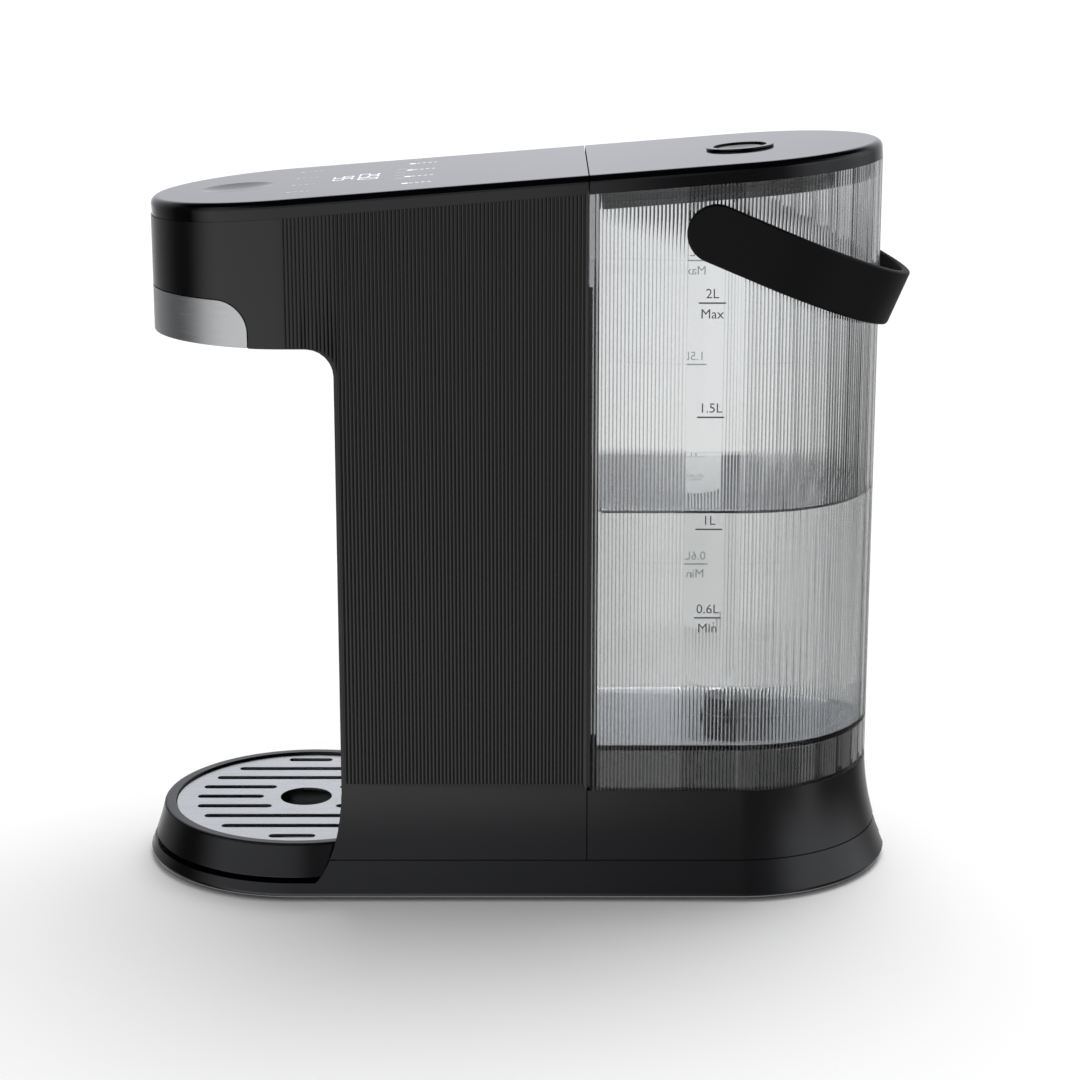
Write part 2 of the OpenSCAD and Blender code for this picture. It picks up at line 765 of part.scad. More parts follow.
module display_module() {
    color("#303034") on_top() translate([-display_w / 2, display_u - display_l / 2, -board_depth])
        cube([display_w, display_l, board_depth - plate_t - fit]);
}
module touch_pad() {
    color("#404044") on_top() translate([0, dish_u, -board_depth])
        cylinder(r = touch_r, h = board_depth - plate_t - fit);
}
module board_screws() {
    spare = 1;
    color("silver") {
        on_top() board_places() translate([0, 0, -board_depth - board_t]) screw(board_t + plate_t + spare);
        power_places() translate([0, power_y, 0]) toward_y() screw(power_stand + board_t - spare);
    }
}
module screw(l) {
    mirror([0, 0, 1]) cylinder(r = board_screw_head[0], h = board_screw_head[1]);
    cylinder(r = screw_r - run, h = l);
}

// Spout: chamber and nozzle in the head
module spout_nozzle() {
    color("#2c2c2e") translate([0, front_y, 0]) difference() {
        union() {
            translate([0, 0, nozzle_z]) cylinder(r = nozzle_r, h = chamber_z - nozzle_z);
            translate([0, 0, head_h + wall]) cylinder(r = chamber_r, h = chamber_z - head_h - wall);
        }
        translate([0, 0, nozzle_z - cut]) cylinder(r = nozzle_bore_r, h = big);
    }
}
module outlet_chamber() {
    color("#e4e2dc") translate([0, front_y, chamber_z]) difference() {
        union() {
            cylinder(r = chamber_r, h = chamber_h);
            translate([0, 0, hose_top - chamber_z]) toward_y()
                cylinder(r = hose_r, h = chamber_r + nipple_l);
        }
        translate([0, 0, chamber_wall])
            cylinder(r = chamber_r - chamber_wall, h = chamber_h - 2 * chamber_wall);
        translate([0, 0, -cut]) cylinder(r = nozzle_bore_r, h = chamber_wall + 2 * cut);
        translate([0, 0, hose_top - chamber_z]) toward_y() cylinder(r = hose_bore_r, h = big);
    }
}

// Pump: rubber mount, volute, cover, motor and the impeller on its shaft
module at_pump() translate([pump_x, pump_y, 0]) children();
module pump_mount() {
    color("#2a2a2a") at_pump() translate([0, 0, pan_top]) tube(pump_r, pump_r / 3, mount_h);
}
module pump_body() {
    color("#dcdcd8") at_pump() difference() {
        union() {
            translate([0, 0, pump_z]) cylinder(r = pump_r, h = pump_h);
            translate([0, 0, hose_h]) toward_y() cylinder(r = hose_r, h = pump_r + nipple_l);
            translate([-pump_r - nipple_l, 0, hose_h]) rotate([0, 90, 0])
                cylinder(r = hose_r, h = pump_r + nipple_l);
        }
        translate([0, 0, pump_z + pump_wall]) cylinder(r = pump_r - pump_wall, h = pump_h);
        translate([0, 0, hose_h]) toward_y() cylinder(r = hose_bore_r, h = big);
        translate([-big, 0, hose_h]) rotate([0, 90, 0]) cylinder(r = hose_bore_r, h = big);
    }
}
module pump_cover() {
    color("#cfcfca") at_pump() translate([0, 0, pump_z + pump_h])
        tube(pump_r, shaft_r + run, pump_cover_t);
}
module pump_motor() {
    bearing_h = 4;
    color("silver") at_pump() translate([0, 0, motor_z]) difference() {
        union() {
            cylinder(r = motor_r, h = motor_l);
            cylinder(r = motor_r / 2, h = motor_l + bearing_h);
        }
        translate([0, 0, -cut]) cylinder(r = shaft_r + run, h = shaft_in + cut + 1);
    }
}
module pump_impeller() {
    blades = 6;
    blade_t = 1.6;
    blade_h = 6;
    disc_t = 2;
    under = 1.5;
    z = pump_z + pump_wall + under;
    color("#3a6ea5") at_pump() translate([0, 0, z]) {
        cylinder(r = impeller_r, h = disc_t);
        cylinder(r = impeller_r / 3, h = disc_t + blade_h);
        for (i = [1 : blades]) rotate(360 * i / blades)
            translate([0, -blade_t / 2, 0]) cube([impeller_r - disc_t / 4, blade_t, disc_t + blade_h]);
        cylinder(r = shaft_r, h = motor_z + shaft_in - z);
    }
}

// Flow heater: steel tube between two caps, held by clips on the rear panel
module at_heater() translate([heater_x, heater_y, 0]) children();
module heater_tube() {
    color("#b8bcc0") at_heater() translate([0, 0, heater_z])
        tube(heater_r, heater_r - heater_wall, heater_l);
}
module heater_cap() {
    cap_edge = 1;
    cap_wall = 4;
    difference() {
        union() {
            cylinder(r = heater_r + cap_edge, h = cap_t);
            cylinder(r = hose_r, h = cap_t + nipple_l);
        }
        translate([0, 0, -cut]) cylinder(r = heater_r - cap_wall, h = cap_t / 2 + cut);
        cylinder(r = hose_bore_r, h = big);
    }
}
module heater_cap_lower() {
    color("#e8e6e0") at_heater() translate([0, 0, heater_z]) mirror([0, 0, 1]) heater_cap();
}
module heater_cap_upper() {
    color("#e8e6e0") at_heater() translate([0, 0, heater_top]) heater_cap();
}
module heater_clips() {
    clip_h = 10;
    clip_in = 15;
    foot_t = 1.5;
    color("#c0c0c0") at_heater()
        for (z = [heater_z + clip_in, heater_top - clip_in - clip_h]) translate([0, 0, z]) difference() {
            union() {
                cylinder(r = heater_r + clip_t, h = clip_h);
                translate([-clip_h / 2, heater_r, 0]) cube([clip_h, clip_stand, clip_h]);
                translate([-clip_h, heater_r + clip_stand - foot_t, 0]) cube([2 * clip_h, foot_t, clip_h]);
            }
            translate([0, 0, -cut]) cylinder(r = heater_r + fit, h = clip_h + 2 * cut);
        }
}
module thermal_cutouts() {
    cutout = [6, 5];
    color("#8a6a3c") at_heater() for (part = [0.4, 0.6])
        translate([0, -heater_r - fit, heater_z + heater_l * part]) rotate([90, 0, 0])
            cylinder(r = cutout[0], h = cutout[1]);
}
module temperature_sensor() {
    collar = [3, 3];
    stem = [2, 9];
    aside = (hose_r + clamp_t + heater_r) / 2;
    color("#d0a030") at_heater() translate([-aside, 0, heater_top + cap_t]) {
        cylinder(r = collar[0], h = collar[1]);
        cylinder(r = stem[0], h = stem[1]);
    }
}

// Power board on its posts
module power_board() {
    relay_w = power_w / 3;
    sink_w = power_w / 4;
    capacitor_r = power_w / 7;
    stand = power_w / 4;
    color("darkgreen") translate([power_x, power_y, power_z]) difference() {
        union() {
            cube([power_w, board_t, power_l]);
            translate([power_w / 5, -stand, power_l / 6]) cube([relay_w, stand + fit, relay_w]);
            translate([power_w * 2 / 3, -stand, power_l / 3]) cube([sink_w, stand + fit, power_l / 4]);
            translate([power_w / 3, fit, power_l * 2 / 3]) rotate([90, 0, 0])
                cylinder(r = capacitor_r, h = stand + fit);
        }
        translate([-power_x, 0, -power_z]) power_places() translate([0, -cut, 0])
            toward_y() cylinder(r = screw_r + fit, h = board_t + 2 * cut);
    }
}

// Hoses, their clamps, and the leads inside the column
module inlet_hose() color("#e6e6e6") rod(rounded(inlet_route, bend_r), hose_r, 12);
module feed_hose() color("#e6e6e6") rod(rounded(feed_route, bend_r), hose_r, 12);
module outlet_hose() color("#e6e6e6") rod(rounded(outlet_route, bend_r), hose_r, 12);
module clamp() tube(hose_r + clamp_t, hose_r + run, clamp_l);
module hose_clamps() {
    color("#9a9a9a") {
        translate(inlet_route[0]) toward_y() translate([0, 0, cut]) clamp();
        translate(inlet_route[3]) mirror([0, 1, 0]) toward_y() translate([0, 0, cut]) clamp();
        translate(feed_route[0]) rotate([0, -90, 0]) translate([0, 0, cut]) clamp();
        translate(feed_route[2]) translate([0, 0, -clamp_l - cut]) clamp();
        translate(outlet_route[0]) translate([0, 0, cut]) clamp();
        translate(outlet_route[3]) toward_y() translate([0, 0, cut]) clamp();
    }
}
module wiring_loom() color("#333333") rod(rounded(loom_route, bend_r), loom_r, 8);
module mains_lead() color("#333333") rod(rounded(lead_route, bend_r), lead_r, 8);

// Clear tank: ribbed wall, smooth window strips, a floor above an open skirt, and pivot bosses
module water_tank() {
    color("#dfe6ea", 0.5) difference() {
        union() {
            difference() {
                union() {
                    translate([0, 0, dock_h]) linear_extrude(seam_h) difference() {
                        tank_plan(0);
                        side_grooves(rear_y - tank_ribs * rib_pitch, rear_y, tank_groove_d);
                        round_grooves();
                    }
                    translate([-body_r, seam_y + gap, hook_z])
                        cube([body_w, tank_gap - gap + fit, seam_h]);
                }
                above(panel_t);
            }
            for (s = [0, 1]) mirror([s, 0, 0]) {
                window_strip();
                translate([body_r - cut, pivot_y, pivot_h]) rotate([0, 90, 0])
                    cylinder(r = pin_r + boss_w, h = cut + arm_clear - gap);
            }
        }
        translate([0, 0, floor_h]) linear_extrude(seam_h) tank_plan(tank_wall);
        translate([0, 0, dock_h - cut]) linear_extrude(floor_h - floor_t - dock_h + cut)
            tank_plan(tank_wall);
        translate([0, rear_y, 0]) cylinder(r = spigot_r + fit, h = floor_h + cut);
        translate([-big, pivot_y, pivot_h]) rotate([0, 90, 0]) cylinder(r = pin_r + run, h = 2 * big);
    }
}
module window_strip() {
    r = window_w / 2;
    translate([body_r - tank_wall, pivot_y, 0]) rotate([90, 0, 90]) linear_extrude(tank_wall) {
        translate([0, window_h + r]) circle(r);
        translate([0, pivot_h]) circle(r);
        translate([-r, window_h + r]) square([window_w, pivot_h - window_h - r]);
    }
}
module handle_pins() {
    color("#b0b4b8") for (s = [0, 1])
        mirror([s, 0, 0]) translate([body_r - tank_wall, pivot_y, pivot_h]) rotate([0, 90, 0]) {
            translate([0, 0, -pin_head[1]]) cylinder(r = pin_r + pin_head[0], h = pin_head[1]);
            cylinder(r = pin_r, h = tank_wall + arm_clear + strap_t - pin_cover - gap);
        }
}

// Outlet valve in the tank's floor
module valve_body() {
    spoke = 2;
    hub_r = stem_r + spoke;
    top = floor_h + bridge_t;
    color("#c9ccc8") translate([0, rear_y, 0]) difference() {
        union() {
            difference() {
                union() {
                    translate([0, 0, spigot_end]) cylinder(r = spigot_r, h = top - spigot_end);
                    translate([0, 0, floor_h]) cylinder(r = valve_flange_r, h = bridge_t);
                }
                translate([0, 0, spigot_end + seat_t]) cylinder(r = valve_bore_r, h = big);
                translate([0, 0, spigot_end - cut]) cylinder(r = seat_r, h = big);
            }
            translate([0, 0, floor_h]) cylinder(r = hub_r, h = bridge_t);
            for (a = [0, 90]) rotate(a) translate([-valve_bore_r - cut, -spoke / 2, floor_h])
                cube([2 * (valve_bore_r + cut), spoke, bridge_t]);
        }
        translate([0, 0, floor_h - cut]) cylinder(r = stem_r + run, h = bridge_t + 2 * cut);
    }
}
module inlet_strainer() {
    slots = 12;
    slit = 2;
    color("#26282a") translate([0, rear_y, floor_h + bridge_t]) difference() {
        cylinder(r = strainer_r, h = strainer_h);
        translate([0, 0, -cut])
            cylinder(r = strainer_r - strainer_wall, h = strainer_h - strainer_wall + cut);
        for (i = [1 : slots])
            rotate(360 * i / slots) translate([strainer_r - 2 * strainer_wall, -slit / 2, slit])
                cube([3 * strainer_wall, slit, strainer_h - 2.5 * slit]);
    }
}
module valve_poppet() {
    color("#d04a3a") translate([0, rear_y, 0]) {
        translate([0, 0, stem_end])
            cylinder(r = stem_r, h = floor_h + bridge_t + valve_lift + cut - stem_end);
        translate([0, 0, poppet_z + valve_seal_t]) cylinder(r = poppet_r, h = poppet_t);
    }
}
module valve_seal() {
    color("#303030") translate([0, rear_y, poppet_z]) tube(poppet_r + seal_lip, stem_r + run, valve_seal_t);
}
module valve_spring() {
    z0 = poppet_z + valve_seal_t + poppet_t + valve_wire + run;
    color("silver") translate([0, rear_y, z0])
        rod(helix(stem_r + 3 * valve_wire, floor_h - z0 - valve_wire - run, 3), valve_wire, 6);
}

// Tank lid: capped plate, plug inside the tank's mouth, and the cup under its button
module tank_lid() {
    color("#0c0c0f") difference() {
        union() {
            difference() {
                intersection() {
                    on_top() rear_sweep(edge_profile(), rear_u, -edge_r);
                    behind(seam_y + seam_gap / 2);
                }
                on_top() translate([0, 0, -panel_t - plate_t]) intersection() {
                    rear_sweep(block(body_r - wall, 0, panel_t), rear_u, -edge_r);
                    translate([-big, wall + seam_gap, -big]) cube(2 * big);
                }
            }
            plug(tank_wall + plug_clear, plate_t - fit, panel_t + plug_depth);
            on_top() translate([0, rear_u, -cup_depth])
                cylinder(r = ring_r + cup_wall, h = cup_depth - fit);
        }
        plug(tank_wall + plug_clear + wall, plate_t, panel_t + plug_depth + cut, ring_r + cup_wall);
        gasket_solid(fit);
        on_top() translate([0, rear_u, -cup_depth + cup_wall])
            cylinder(r = ring_r, h = cup_depth - cup_wall - plate_t);
        on_top() translate([0, rear_u, -cup_depth + cup_wall])
            cylinder(r = button_r + button_lip + fit, h = big);
    }
}
// Upright prism inside the tank's mouth between two depths below the sloping top, less a round post
module plug(inset, depth0, depth1, post_r = 0) {
    difference() {
        translate([0, 0, dock_h]) linear_extrude(seam_h) tank_plan(inset);
        above(depth0);
        on_top() translate([-big, -big, -depth1 - 2 * big]) cube(2 * big);
        if (post_r > 0) on_top() translate([0, rear_u, -big / 2]) cylinder(r = post_r, h = big);
    }
}
module gasket_solid(grow) {
    difference() {
        plug(tank_wall + gap - grow, gasket_top - grow, gasket_top + gasket[1] + grow);
        plug(tank_wall + gap + gasket[0] + grow, gasket_top - cut, gasket_top + gasket[1] + cut);
    }
}
module lid_gasket() color("#8d9296") gasket_solid(0);
module lid_ring() {
    color("#101014") on_top() translate([0, rear_u, 0]) difference() {
        union() {
            cylinder(r = ring_r, h = ring_h);
            translate([0, 0, -plate_t]) cylinder(r = button_r + button_lip, h = plate_t + fit);
        }
        translate([0, 0, -plate_t - cut]) cylinder(r = button_r + button_gap, h = big);
    }
}
module lid_button() {
    rise = ring_h - button_sink;
    ball = 60;
    dip = 0.8;
    color("#141418") on_top() translate([0, rear_u, 0]) difference() {
        union() {
            translate([0, 0, -button_skirt]) cylinder(r = button_r, h = button_skirt + rise);
            translate([0, 0, -button_skirt])
                cylinder(r = button_r + button_lip, h = button_skirt - plate_t - gap);
        }
        translate([0, 0, -button_skirt - cut])
            cylinder(r = button_r - button_recess, h = cut + button_recess);
        translate([0, 0, ball + rise - dip]) sphere(r = ball);
    }
}
module lid_button_spring() {
    h = button_travel + spring_room + button_recess - 2 * button_wire - 2 * run;
    color("silver") on_top() translate([0, rear_u, -cup_depth + cup_wall + button_wire + run])
        rod(helix(button_r / 2, h, 4), button_wire, 6);
}

// Bail handle: two arms with round ends and a half-round bow, hanging against the tank's back
module tank_handle() {
    color("#141416") translate([0, pivot_y, pivot_h]) rotate([-droop, 0, 0]) difference() {
        union() {
            translate([0, 0, -strap_w / 2]) linear_extrude(strap_w) {
                both_sides_2d() translate([bow_in, 0]) square([strap_t, arm_l]);
                intersection() {
                    translate([0, arm_l]) difference() {
                        circle(bow_r);
                        circle(bow_in);
                    }
                    translate([-big, arm_l]) square(2 * big);
                }
            }
            both_x(bow_in + strap_t / 2) rotate([0, 90, 0])
                cylinder(r = strap_w / 2, h = strap_t, center = true);
        }
        rotate([0, 90, 0]) cylinder(r = pin_r + run, h = 2 * (bow_r - pin_cover), center = true);
    }
}
module both_sides_2d() {
    children();
    mirror([1, 0]) children();
}

// Drip tray: a cup inside a flared skirt, and the slotted grille on its ledge
module drip_tray() {
    ledge_r = grille_r + gap;
    cup_r = ledge_r - ledge_w;
    skirt_z = grille_z - tray_wall;
    stand = [4, 8];
    profile = concat([[0, tray_z]], [for (z = steps(tray_z, tray_h - rim_edge, 6)) [flared_r(z), z]],
        [[rim_r, tray_h], [ledge_r, tray_h], [ledge_r, grille_z], [cup_r, grille_z],
        [cup_r, tray_z + tray_wall], [0, tray_z + tray_wall]]);
    hollow = concat([[cup_r + tray_wall, tray_z - cut], [cup_r + tray_wall, skirt_z]],
        [for (z = steps(skirt_z, tray_z - cut, 6)) [flared_r(z) - tray_wall, z]]);
    color("#151517") translate([0, front_y, 0]) {
        difference() {
            rotate_extrude() polygon(profile);
            rotate_extrude() polygon(hollow);
        }
        translate([0, 0, deck_h]) tube(cup_r - stand[0], cup_r - stand[1], tray_foot + fit);
    }
}
module drip_grille() {
    rows = floor((slot_reach[0] - 1) / slot_pitch);
    color("#c4c6c8") translate([0, front_y, grille_z]) difference() {
        cylinder(r = grille_r, h = grille_t);
        translate([0, 0, -cut]) cylinder(r = grille_hole_r, h = grille_t + 2 * cut);
        for (i = [-rows : rows]) let (x = i * slot_pitch) {
            reach = slot_reach[1] * sqrt(1 - pow(x / slot_reach[0], 2));
            if (abs(x) < slot_keep_r) {
                near = sqrt(slot_keep_r * slot_keep_r - x * x);
                slot(x, near, reach - slot_ahead);
                slot(x, -reach - slot_ahead, -near);
            } else slot(x, -reach - slot_ahead, reach - slot_ahead);
        }
    }
}
module slot(x, y0, y1) {
    r = slot_w / 2;
    translate([x, 0, -cut]) linear_extrude(grille_t + 2 * cut) {
        translate([0, y0 + r]) circle(r);
        translate([0, y1 - r]) circle(r);
        translate([-r, y0 + r]) square([slot_w, y1 - y0 - slot_w]);
    }
}

base_pan();
rubber_feet();
base_screws();
cord_gland();
terminal_block();
front_housing();
rear_panel();
tank_dock();
dock_socket();
dock_seal();
top_panel();
touch_pad();
display_module();
control_board();
board_screws();
spout_trim();
spout_nozzle();
outlet_chamber();
pump_mount();
pump_body();
pump_cover();
pump_motor();
pump_impeller();
heater_tube();
heater_cap_lower();
heater_cap_upper();
heater_clips();
thermal_cutouts();
temperature_sensor();
power_board();
inlet_hose();
feed_hose();
outlet_hose();
hose_clamps();
wiring_loom();
mains_lead();
water_tank();
handle_pins();
valve_body();
inlet_strainer();
valve_poppet();
valve_seal();
valve_spring();
tank_lid();
lid_gasket();
lid_ring();
lid_button();
lid_button_spring();
tank_handle();
drip_tray();
drip_grille();
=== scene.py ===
import json
import math

import bmesh
import bpy
from mathutils import Matrix, Vector

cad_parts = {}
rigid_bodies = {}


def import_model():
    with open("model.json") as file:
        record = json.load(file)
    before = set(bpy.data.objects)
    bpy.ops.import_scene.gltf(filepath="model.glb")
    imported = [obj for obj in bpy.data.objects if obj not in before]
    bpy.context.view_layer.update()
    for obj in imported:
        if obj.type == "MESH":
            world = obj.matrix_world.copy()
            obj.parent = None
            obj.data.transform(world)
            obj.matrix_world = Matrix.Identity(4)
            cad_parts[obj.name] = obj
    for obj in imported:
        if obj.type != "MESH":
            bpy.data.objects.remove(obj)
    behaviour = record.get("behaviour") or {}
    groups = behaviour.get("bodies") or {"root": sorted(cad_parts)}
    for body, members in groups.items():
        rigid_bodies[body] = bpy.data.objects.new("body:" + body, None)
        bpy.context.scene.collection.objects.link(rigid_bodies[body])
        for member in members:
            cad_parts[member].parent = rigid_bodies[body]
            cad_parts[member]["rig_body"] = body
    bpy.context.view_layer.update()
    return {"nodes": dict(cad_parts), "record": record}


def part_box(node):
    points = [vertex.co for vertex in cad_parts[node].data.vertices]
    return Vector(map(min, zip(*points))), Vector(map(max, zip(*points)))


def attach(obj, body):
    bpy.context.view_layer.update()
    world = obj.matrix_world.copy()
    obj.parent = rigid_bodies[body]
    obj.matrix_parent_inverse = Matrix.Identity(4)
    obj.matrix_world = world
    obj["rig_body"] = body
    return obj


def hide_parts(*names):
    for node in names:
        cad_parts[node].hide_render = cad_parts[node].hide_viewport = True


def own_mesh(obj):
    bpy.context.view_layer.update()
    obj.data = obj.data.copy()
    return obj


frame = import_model()
node = frame["nodes"]
joint = {j["name"]: j for j in frame["record"]["behaviour"]["joints"]}
scene = bpy.context.scene


# Base pan: a low tray injection-moulded in black ABS, which flares out and turns under in a small
# radius. It carries the whole machine and is screwed up into the column and the tank's dock.
def linear(colour):
    """An sRGB hex colour as the linear values that shaders take."""
    parts = [int(colour[i : i + 2], 16) / 255 for i in (1, 3, 5)]
    return [c / 12.92 if c <= 0.04045 else ((c + 0.055) / 1.055) ** 2.4 for c in parts] + [1]


def add(tree, kind, links=(), values=(), **settings):
    """Adds a node: what feeds its sockets, its own socket values, and its settings."""
    made = tree.nodes.new(kind)
    for name, value in settings.items():
        setattr(made, name, value)
    for name, value in dict(values).items():
        made.inputs[name].default_value = value
    for name, source in dict(links).items():
        tree.links.new(source, made.inputs[name])
    return made


def blank(name):
    """A material with an empty node tree, and its Object coordinates."""
    made = bpy.data.materials.new(name)
    made.use_nodes = True
    made.node_tree.nodes.clear()
    return made, made.node_tree, add(made.node_tree, "ShaderNodeTexCoord").outputs["Object"]


def moulded(name, tones, rough, grain_mm, relief_mm, ior=1.5):
    """Moulded plastic or rubber: slow clouds between two close tones, and an even spark-eroded grain."""
    cloud_mm, gloss_spread = 40, 0.03
    made, tree, place = blank(name)
    clouds = add(tree, "ShaderNodeTexNoise", {"Vector": place}, {"Scale": 1000 / cloud_mm, "Detail": 2})
    tone = add(tree, "ShaderNodeMix", {0: clouds.outputs["Fac"]}, {6: linear(tones[0]), 7: linear(tones[1])},
               data_type="RGBA")
    grain = add(tree, "ShaderNodeTexNoise", {"Vector": place}, {"Scale": 1000 / grain_mm, "Detail": 1})
    gloss = add(tree, "ShaderNodeMapRange", {"Value": clouds.outputs["Fac"]},
                {"To Min": rough - gloss_spread, "To Max": rough + gloss_spread})
    bump = add(tree, "ShaderNodeBump", {"Height": grain.outputs["Fac"]},
               {"Strength": 0.4, "Distance": relief_mm / 1000})
    skin = add(tree, "ShaderNodeBsdfPrincipled",
               {"Base Color": tone.outputs[2], "Roughness": gloss.outputs[0], "Normal": bump.outputs[0]},
               {"IOR": ior})
    add(tree, "ShaderNodeOutputMaterial", {"Surface": skin.outputs[0]})
    return made


def finished(name, skin, sharp=30, edge_mm=0, blend=False):
    """A welded copy of a node's mesh that stands for it: flat faces joined, edges eased, shaded smooth."""
    weld, flat = 2e-6, math.radians(0.2)
    mesh = node[name].data.copy()
    for spare in ("custom_normal", "sharp_edge", "sharp_face"):
        if spare in mesh.attributes:
            mesh.attributes.remove(mesh.attributes[spare])
    form = bmesh.new()
    form.from_mesh(mesh)
    bmesh.ops.remove_doubles(form, verts=form.verts, dist=weld)
    bmesh.ops.dissolve_limit(form, angle_limit=flat, verts=form.verts, edges=form.edges)
    for face in form.faces:
        face.smooth = True
    for edge in form.edges:
        edge.smooth = edge.is_manifold and edge.calc_face_angle() < math.radians(sharp)
    form.to_mesh(mesh)
    form.free()
    mesh.materials.clear()
    mesh.materials.append(skin)
    piece = bpy.data.objects.new(name + "_skin", mesh)
    scene.collection.objects.link(piece)
    if edge_mm:
        ease = piece.modifiers.new("Eased edges", "BEVEL")
        ease.width = edge_mm / 1000
        ease.segments = 2
        ease.limit_method = "ANGLE"
        ease.angle_limit = math.radians(sharp)
        ease.harden_normals = True
        ease.use_clamp_overlap = False
    if blend:
        soft = piece.modifiers.new("Rounded ribs between true flats", "WEIGHTED_NORMAL")
        soft.keep_sharp = True
    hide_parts(name)
    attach(piece, node[name]["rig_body"])
    return piece


def coat(skin, *names):
    """Gives CAD nodes a material."""
    for name in names:
        node[name].data.materials.clear()
        node[name].data.materials.append(skin)


# ABS from a finely spark-eroded mould: near black, with a soft even sheen
BLACK_ABS = moulded("Black ABS, fine spark-eroded", ("#040406", "#070709"), 0.24, 0.5, 0.012, 1.57)
finished("base_pan", BLACK_ABS, sharp=26)


# Feet, cord gland and base screws: moulded rubber feet pressed into the pan, a rubber gland in its
# back wall, and four zinc-plated steel screws sunk in its underside.
RUBBER = moulded("Black rubber, moulded", ("#0a0a0a", "#141414"), 0.75, 0.8, 0.03, 1.52)
coat(RUBBER, "rubber_feet", "cord_gland")


def turned(name, tone, rough, streak_mm, stretch):
    """Bare metal with fine streaks drawn out along one axis by brushing, drawing or turning."""
    gloss_spread, relief_mm = 0.06, 0.02
    middle = {"From Min": 0.3, "From Max": 0.7}
    made, tree, place = blank(name)
    lie = add(tree, "ShaderNodeMapping", {"Vector": place}, {"Scale": stretch})
    streak = add(tree, "ShaderNodeTexNoise", {"Vector": lie.outputs[0]},
                 {"Scale": 1000 / streak_mm, "Detail": 3, "Roughness": 0.6})
    gloss = add(tree, "ShaderNodeMapRange", {"Value": streak.outputs["Fac"]},
                {**middle, "To Min": rough - gloss_spread, "To Max": rough + gloss_spread})
    shade = add(tree, "ShaderNodeMapRange", {"Value": streak.outputs["Fac"]},
                {**middle, "To Min": 0.9, "To Max": 1})
    colour = add(tree, "ShaderNodeMix", {7: shade.outputs[0]}, {0: 1.0, 6: linear(tone)},
                 data_type="RGBA", blend_type="MULTIPLY")
    bump = add(tree, "ShaderNodeBump", {"Height": streak.outputs["Fac"]},
               {"Strength": 0.25, "Distance": relief_mm / 1000})
    skin = add(tree, "ShaderNodeBsdfPrincipled",
               {"Base Color": colour.outputs[2], "Roughness": gloss.outputs[0], "Normal": bump.outputs[0]},
               {"Metallic": 1.0})
    add(tree, "ShaderNodeOutputMaterial", {"Surface": skin.outputs[0]})
    return made


STEEL = turned("Bright steel, drawn", "#b9babb", 0.3, 0.6, (1, 1, 0.08))
coat(STEEL, "base_screws")


# Column: one tall ABS shell whose sides are reeded from the skirt to the top, with a smooth round
# nose that overhangs the cup bay. A flat panel closes its back, and both stand on the base pan.
finished("front_housing", BLACK_ABS, sharp=50, blend=True)
coat(BLACK_ABS, "rear_panel")


# Band round the nose's lower edge: thin aluminium strip, brushed along its length, lacquered and
# glued into a shallow recess, with its two ends cut to a quarter round.
BRUSHED_SILVER = turned("Aluminium, brushed and lacquered", "#e0e1e1", 0.42, 0.5, (0.04, 0.04, 1))
coat(BRUSHED_SILVER, "spout_trim")


# Water path in the column: rubber-mounted pump, flow heater between two clips, silicone hoses with
# spring clamps, and the moulded chamber and nozzle that the hot water leaves by.
NATURAL_NYLON = moulded("Nylon, natural, moulded", ("#cfcbc0", "#dedbd2"), 0.42, 0.7, 0.02, 1.53)
SILICONE = moulded("Silicone, translucent, moulded", ("#c4c6c6", "#d6d8d8"), 0.5, 1.2, 0.02, 1.41)
BRASS = turned("Brass, turned", "#b58b45", 0.28, 0.4, (1, 1, 0.1))
coat(NATURAL_NYLON, "pump_body", "pump_cover", "pump_impeller", "heater_cap_lower", "heater_cap_upper",
     "outlet_chamber", "terminal_block", "dock_socket")
coat(SILICONE, "inlet_hose", "feed_hose", "outlet_hose", "dock_seal", "spout_nozzle")
coat(STEEL, "pump_motor", "heater_tube", "heater_clips", "thermal_cutouts", "hose_clamps", "board_screws")
coat(BRASS, "temperature_sensor")
coat(RUBBER, "pump_mount", "mains_lead", "wiring_loom", "touch_pad")


# Boards: the power board on the column's back panel and the control board under the top, in green
# glass epoxy under solder mask, with the display's black housing on the second.
SOLDER_MASK = moulded("Glass epoxy board, green solder mask", ("#0d3a20", "#145030"), 0.35, 1.5, 0.02)
coat(SOLDER_MASK, "power_board", "control_board")
coat(BLACK_ABS, "display_module")


# Tank's dock: the flared ABS foot behind the column. Its ledge carries the tank, and its plinth
# stands up inside the tank's open skirt.
finished("tank_dock", BLACK_ABS, sharp=26)


# Top panel: a cover moulded in polished black ABS, with a rounded edge, which slopes down to the
# front. The touch key is a shallow round dish in it. It clips down onto the column.
def polished(name, tone):
    """Black ABS from a polished mould, with the slight waviness of a moulding and fine wiping marks."""
    wave_mm, relief_mm, wipe_mm = 14, 0.03, 3
    made, tree, place = blank(name)
    wave = add(tree, "ShaderNodeTexNoise", {"Vector": place}, {"Scale": 1000 / wave_mm, "Detail": 0})
    bump = add(tree, "ShaderNodeBump", {"Height": wave.outputs["Fac"]},
               {"Strength": 0.04, "Distance": relief_mm / 1000})
    wipes = add(tree, "ShaderNodeTexNoise", {"Vector": place}, {"Scale": 1000 / wipe_mm, "Detail": 4})
    gloss = add(tree, "ShaderNodeMapRange", {"Value": wipes.outputs["Fac"]}, {"To Min": 0.04, "To Max": 0.1})
    skin = add(tree, "ShaderNodeBsdfPrincipled", {"Roughness": gloss.outputs[0], "Normal": bump.outputs[0]},
               {"Base Color": linear(tone), "IOR": 1.5})
    add(tree, "ShaderNodeOutputMaterial", {"Surface": skin.outputs[0]})
    return made


